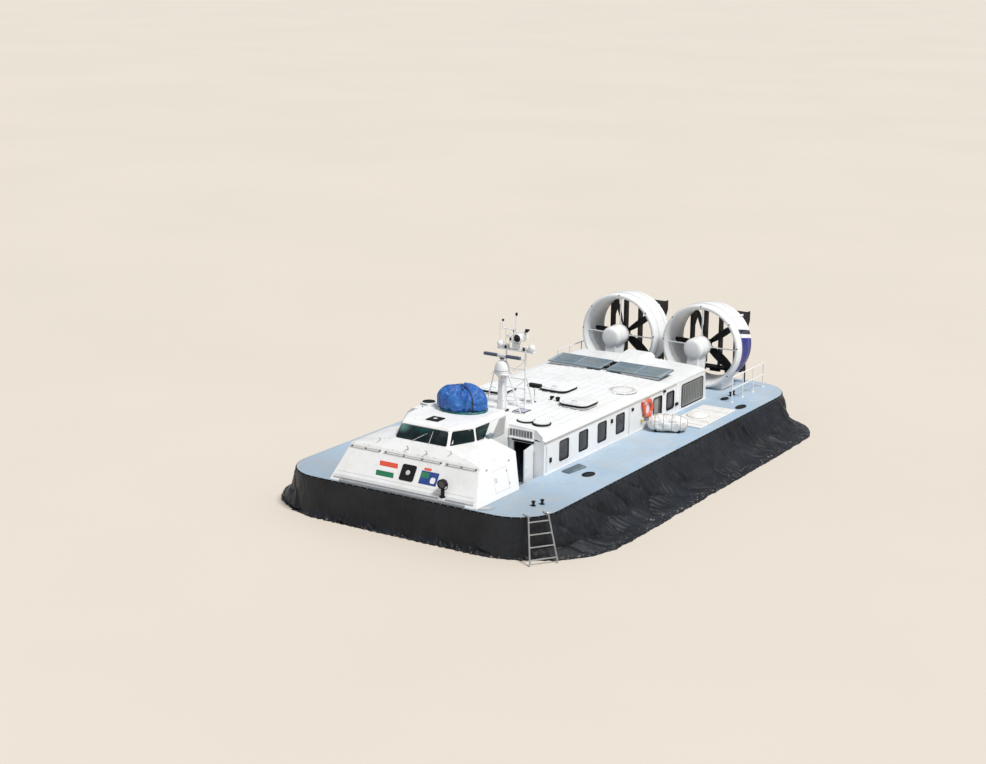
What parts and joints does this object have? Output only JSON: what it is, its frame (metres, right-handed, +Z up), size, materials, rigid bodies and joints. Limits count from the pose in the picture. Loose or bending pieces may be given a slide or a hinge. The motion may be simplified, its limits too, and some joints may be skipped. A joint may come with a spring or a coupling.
{
  "type": "hovercraft",
  "caption": "Patrol hovercraft with a long low cabin, raised wheelhouse, twin ducted propellers with rudders, and a rubber skirt lying deflated on the ground.",
  "frame": {"origin": "on the ground, under the middle of the craft's box", "axes": "+X to the bow, +Y to port, +Z up"},
  "size_m": [21.15, 13.18, 6.25],
  "materials": {
    "white_paint": "semi-gloss, weathered",
    "deck_paint": "matt, non-slip",
    "skirt_rubber": "dusty coated cloth",
    "dark_glass": "tinted",
    "intake_paint": "satin",
    "black_paint": "satin",
    "bare_metal": "dull",
    "tarp_fabric": "coated tarpaulin",
    "wrap_fabric": "coated wrapping",
    "ring_plastic": "sun-faded",
    "engine_iron": "plain"
  },
  "bodies": {
    "craft": {"hull": "deck_paint", "side_deck_port": "deck_paint", "side_deck_starboard": "deck_paint", "skirt_bow_port": "skirt_rubber", "skirt_stern_port": "skirt_rubber", "skirt_stern_starboard": "skirt_rubber", "skirt_bow_starboard": "skirt_rubber", "bow_block": "white_paint", "bow_fender": "skirt_rubber", "wheelhouse": "white_paint", "wheelhouse_glass": "dark_glass", "wheelhouse_roof": "white_paint", "tarp_bundle": "tarp_fabric", "cabin_wall_port": "white_paint", "cabin_wall_starboard": "white_paint", "cabin_glass_port": "dark_glass", "cabin_glass_starboard": "dark_glass", "front_bulkhead": "white_paint", "cabin_roof": "white_paint", "casing_wall_port": "white_paint", "casing_wall_starboard": "white_paint", "casing_rear_wall": "white_paint", "casing_top": "white_paint", "intake_panel_port": "intake_paint", "intake_panel_starboard": "intake_paint", "engine_grille_port": "intake_paint", "engine_grille_starboard": "intake_paint", "engine_port": "engine_iron", "engine_starboard": "engine_iron", "duct_port": "white_paint", "duct_starboard": "white_paint", "nacelle_port": "white_paint", "nacelle_starboard": "white_paint", "rudder_frame_port": "black_paint", "rudder_frame_starboard": "black_paint", "radar_pylon": "white_paint", "mast": "white_paint", "mast_head": "white_paint", "lifebuoy": "ring_plastic", "liferaft_bundle": "wrap_fabric", "deck_box": "white_paint", "handrail_port": "white_paint", "handrail_starboard": "white_paint", "bow_searchlight": "black_paint", "boarding_ladder": "bare_metal"},
    "propeller_port": {"propeller_port": "black_paint"},
    "propeller_starboard": {"propeller_starboard": "black_paint"},
    "rudder_port_1": {"rudder_port_1": "black_paint"},
    "rudder_port_2": {"rudder_port_2": "black_paint"},
    "rudder_port_3": {"rudder_port_3": "black_paint"},
    "rudder_starboard_1": {"rudder_starboard_1": "black_paint"},
    "rudder_starboard_2": {"rudder_starboard_2": "black_paint"},
    "rudder_starboard_3": {"rudder_starboard_3": "black_paint"},
    "radar_scanner": {"radar_scanner": "intake_paint"},
    "hatch_lid_starboard": {"hatch_lid_starboard": "white_paint"},
    "hatch_lid_middle": {"hatch_lid_middle": "white_paint"},
    "hatch_lid_port": {"hatch_lid_port": "white_paint"},
    "entrance_door_port": {"entrance_door_port": "white_paint"},
    "entrance_door_starboard": {"entrance_door_starboard": "white_paint"}
  },
  "joints": [
    {"name": "propeller_port_spin", "type": "hinge", "parent": "craft", "child": "propeller_port", "pos_m": [-8.26, 1.86, 3.125], "axis": [1, 0, 0], "continuous": true},
    {"name": "propeller_starboard_spin", "type": "hinge", "parent": "craft", "child": "propeller_starboard", "pos_m": [-8.26, -1.86, 3.125], "axis": [1, 0, 0], "continuous": true},
    {"name": "rudder_port_2_steer", "type": "hinge", "parent": "craft", "child": "rudder_port_2", "pos_m": [-9.48, 1.86, 3.125], "axis": [0, 0, 1], "range_deg": [-30, 30]},
    {"name": "rudder_port_1_steer", "type": "hinge", "parent": "craft", "child": "rudder_port_1", "pos_m": [-9.48, 1.18, 3.125], "axis": [0, 0, 1], "range_deg": [-30, 30]},
    {"name": "rudder_port_3_steer", "type": "hinge", "parent": "craft", "child": "rudder_port_3", "pos_m": [-9.48, 2.54, 3.125], "axis": [0, 0, 1], "range_deg": [-30, 30]},
    {"name": "rudder_starboard_1_steer", "type": "hinge", "parent": "craft", "child": "rudder_starboard_1", "pos_m": [-9.48, -2.54, 3.125], "axis": [0, 0, 1], "range_deg": [-30, 30]},
    {"name": "rudder_starboard_2_steer", "type": "hinge", "parent": "craft", "child": "rudder_starboard_2", "pos_m": [-9.48, -1.86, 3.125], "axis": [0, 0, 1], "range_deg": [-30, 30]},
    {"name": "rudder_starboard_3_steer", "type": "hinge", "parent": "craft", "child": "rudder_starboard_3", "pos_m": [-9.48, -1.18, 3.125], "axis": [0, 0, 1], "range_deg": [-30, 30]},
    {"name": "radar_scanner_turn", "type": "hinge", "parent": "craft", "child": "radar_scanner", "pos_m": [4.2, 0, 4.83], "axis": [0, 0, 1], "continuous": true},
    {"name": "hatch_lid_starboard_lift", "type": "hinge", "parent": "craft", "child": "hatch_lid_starboard", "pos_m": [1.12, -1.72, 2.928], "axis": [0, -1, 0], "range_deg": [0, 95]},
    {"name": "hatch_lid_middle_lift", "type": "hinge", "parent": "craft", "child": "hatch_lid_middle", "pos_m": [-0.28, 0.06, 2.928], "axis": [0, -1, 0], "range_deg": [0, 95]},
    {"name": "hatch_lid_port_lift", "type": "hinge", "parent": "craft", "child": "hatch_lid_port", "pos_m": [1.12, 1.72, 2.928], "axis": [0, -1, 0], "range_deg": [0, 95]},
    {"name": "entrance_door_port_swing", "type": "hinge", "parent": "craft", "child": "entrance_door_port", "pos_m": [6.06, 2.44, 1.765], "axis": [0, 0, 1], "range_deg": [-100, 0]},
    {"name": "entrance_door_starboard_swing", "type": "hinge", "parent": "craft", "child": "entrance_door_starboard", "pos_m": [6.06, -2.44, 1.765], "axis": [0, 0, -1], "range_deg": [0, 100]}
  ],
  "couplings": [
    {"joint": "rudder_port_1_steer", "follows": "rudder_port_2_steer", "ratio": 1},
    {"joint": "rudder_port_3_steer", "follows": "rudder_port_2_steer", "ratio": 1},
    {"joint": "rudder_starboard_1_steer", "follows": "rudder_port_2_steer", "ratio": 1},
    {"joint": "rudder_starboard_2_steer", "follows": "rudder_port_2_steer", "ratio": 1},
    {"joint": "rudder_starboard_3_steer", "follows": "rudder_port_2_steer", "ratio": 1}
  ]
}
